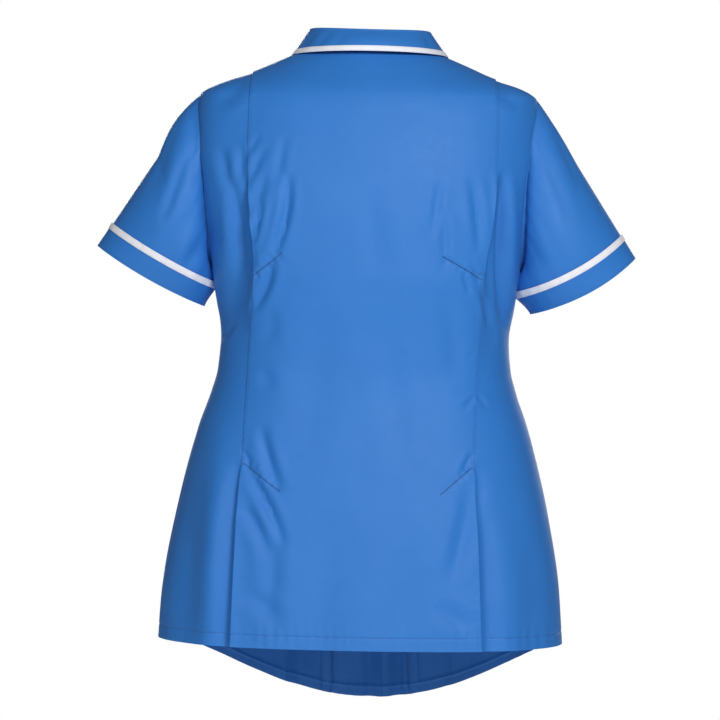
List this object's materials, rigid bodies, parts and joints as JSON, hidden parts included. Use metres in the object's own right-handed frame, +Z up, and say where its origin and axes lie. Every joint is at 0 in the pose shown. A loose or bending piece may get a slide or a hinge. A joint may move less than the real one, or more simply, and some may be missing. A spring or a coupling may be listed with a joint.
{
  "type": "maternity tunic",
  "caption": "Short-sleeved blue maternity work tunic with princess seams, knife pleats, and white tape on the collar and cuffs.",
  "frame": {"origin": "centre of the neck opening, level with the inner ends of the shoulders, where the wearer carries it", "axes": "+Z up along the wearer's height, +Y out of the wearer's back, +X to the wearer's left"},
  "size_m": [0.6455, 0.3429, 0.814],
  "materials": {
    "blue_cloth": "satin",
    "white_tape": "matte",
    "blue_button": "gloss"
  },
  "bodies": {
    "root": {"back_centre": "blue_cloth", "back_side_left": "blue_cloth", "back_side_right": "blue_cloth", "front_centre_left": "blue_cloth", "front_centre_right": "blue_cloth", "front_side_left": "blue_cloth", "front_side_right": "blue_cloth", "sleeve_left": "blue_cloth", "sleeve_right": "blue_cloth", "cuff_left": "blue_cloth", "cuff_right": "blue_cloth", "collar": "blue_cloth", "cuff_tape_left": "white_tape", "cuff_tape_right": "white_tape", "collar_tape": "white_tape", "button_1": "blue_button", "button_2": "blue_button", "button_3": "blue_button", "button_4": "blue_button", "button_5": "blue_button", "button_6": "blue_button", "button_7": "blue_button"}
  },
  "joints": []
}
